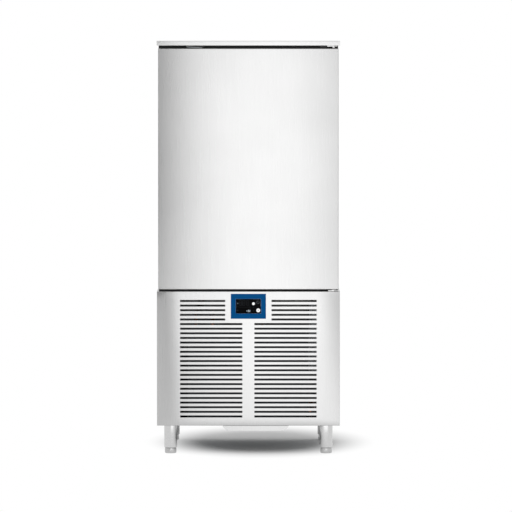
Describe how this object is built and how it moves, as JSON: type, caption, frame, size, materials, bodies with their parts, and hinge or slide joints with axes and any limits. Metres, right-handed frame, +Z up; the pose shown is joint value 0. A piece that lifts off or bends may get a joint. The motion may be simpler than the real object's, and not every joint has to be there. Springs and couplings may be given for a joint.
{
  "type": "blast chiller",
  "caption": "Upright stainless blast chiller with a hung insulated door over a grilled base, slide-out drip tray and adjustable feet.",
  "frame": {"origin": "on the floor under the middle of the cabinet's overall box", "axes": "+Z up, -Y out of the door's front, +X to the right seen from the front"},
  "size_m": [0.79, 0.8, 1.785],
  "materials": {
    "satin_stainless": "satin",
    "polished_steel": "polished",
    "galvanised_steel": "galvanised",
    "finned_aluminium": "mill",
    "copper": "drawn copper",
    "black_plastic": "moulded",
    "grey_plastic": "moulded",
    "white_plastic": "moulded",
    "blue_fascia": "satin film",
    "black_window": "gloss",
    "black_paint": "semi-gloss",
    "grey_rubber": "extruded",
    "foam": "foamed"
  },
  "bodies": {
    "cabinet": {"roof_panel": "satin_stainless", "left_side_panel": "satin_stainless", "right_side_panel": "satin_stainless", "rear_panel": "satin_stainless", "front_frame": "black_plastic", "cell_insulation": "foam", "cell_liner": "satin_stainless", "drain_pipe": "grey_plastic", "left_rack": "satin_stainless", "right_rack": "satin_stainless", "evaporator_coil": "finned_aluminium", "evaporator_fan_panel": "satin_stainless", "lower_fan_guard": "polished_steel", "upper_fan_guard": "polished_steel", "lower_fan_motor": "galvanised_steel", "upper_fan_motor": "galvanised_steel", "core_probe": "black_plastic", "upper_hinge_bracket": "satin_stainless", "lower_hinge_bracket": "satin_stainless", "door_switch": "black_plastic", "front_grille_panel": "satin_stainless", "base_left_panel": "satin_stainless", "base_right_panel": "satin_stainless", "base_rear_panel": "satin_stainless", "base_deck": "satin_stainless", "base_tray": "galvanised_steel", "control_fascia": "blue_fascia", "display_window": "black_window", "control_housing": "grey_plastic", "condenser_coil": "finned_aluminium", "condenser_shroud": "black_paint", "condenser_fan_motor": "galvanised_steel", "compressor": "black_paint", "suction_line": "copper", "discharge_line": "copper", "liquid_receiver": "black_paint", "filter_drier": "copper", "liquid_line": "copper", "electrical_box": "galvanised_steel", "cable_gland": "black_plastic", "front_left_leg": "polished_steel", "front_right_leg": "polished_steel", "rear_left_leg": "polished_steel", "rear_right_leg": "polished_steel"},
    "door": {"door_outer_panel": "satin_stainless", "door_insulation": "foam", "door_inner_panel": "satin_stainless", "door_gasket": "grey_rubber", "upper_hinge_bush": "black_plastic", "lower_hinge_bush": "black_plastic"},
    "lower_fan": {"lower_fan_blade": "black_plastic"},
    "upper_fan": {"upper_fan_blade": "black_plastic"},
    "condenser_fan": {"condenser_fan_blade": "black_plastic"},
    "drip_tray": {"drip_tray": "satin_stainless"},
    "start_button": {"start_button": "white_plastic"},
    "power_button": {"power_button": "white_plastic"},
    "front_left_foot": {"front_left_foot": "polished_steel"},
    "front_right_foot": {"front_right_foot": "polished_steel"},
    "rear_left_foot": {"rear_left_foot": "polished_steel"},
    "rear_right_foot": {"rear_right_foot": "polished_steel"}
  },
  "joints": [
    {"name": "door_hinge", "type": "hinge", "parent": "cabinet", "child": "door", "pos_m": [0.3664, -0.371, 1.233], "axis": [0, 0, 1], "range_deg": [0, 110]},
    {"name": "drip_tray_slide", "type": "slide", "parent": "cabinet", "child": "drip_tray", "axis": [0, -1, 0], "range_m": [0, 0.28]},
    {"name": "start_button_push", "type": "slide", "parent": "cabinet", "child": "start_button", "axis": [0, 1, 0], "range_m": [0, 0.0008], "stiffness_N_per_m": 600, "springref_m": -0.0005},
    {"name": "power_button_push", "type": "slide", "parent": "cabinet", "child": "power_button", "axis": [0, 1, 0], "range_m": [0, 0.0008], "stiffness_N_per_m": 600, "springref_m": -0.0005},
    {"name": "lower_fan_spin", "type": "hinge", "parent": "cabinet", "child": "lower_fan", "pos_m": [0, 0.1725, 0.9995], "axis": [0, 1, 0], "continuous": true},
    {"name": "upper_fan_spin", "type": "hinge", "parent": "cabinet", "child": "upper_fan", "pos_m": [0, 0.1725, 1.4695], "axis": [0, 1, 0], "continuous": true},
    {"name": "condenser_fan_spin", "type": "hinge", "parent": "cabinet", "child": "condenser_fan", "pos_m": [0, -0.2547, 0.3353], "axis": [0, 1, 0], "continuous": true},
    {"name": "front_left_foot_screw", "type": "slide", "parent": "cabinet", "child": "front_left_foot", "axis": [0, 0, -1], "range_m": [0, 0.03]},
    {"name": "front_right_foot_screw", "type": "slide", "parent": "cabinet", "child": "front_right_foot", "axis": [0, 0, -1], "range_m": [0, 0.03]},
    {"name": "rear_left_foot_screw", "type": "slide", "parent": "cabinet", "child": "rear_left_foot", "axis": [0, 0, -1], "range_m": [0, 0.03]},
    {"name": "rear_right_foot_screw", "type": "slide", "parent": "cabinet", "child": "rear_right_foot", "axis": [0, 0, -1], "range_m": [0, 0.03]}
  ]
}
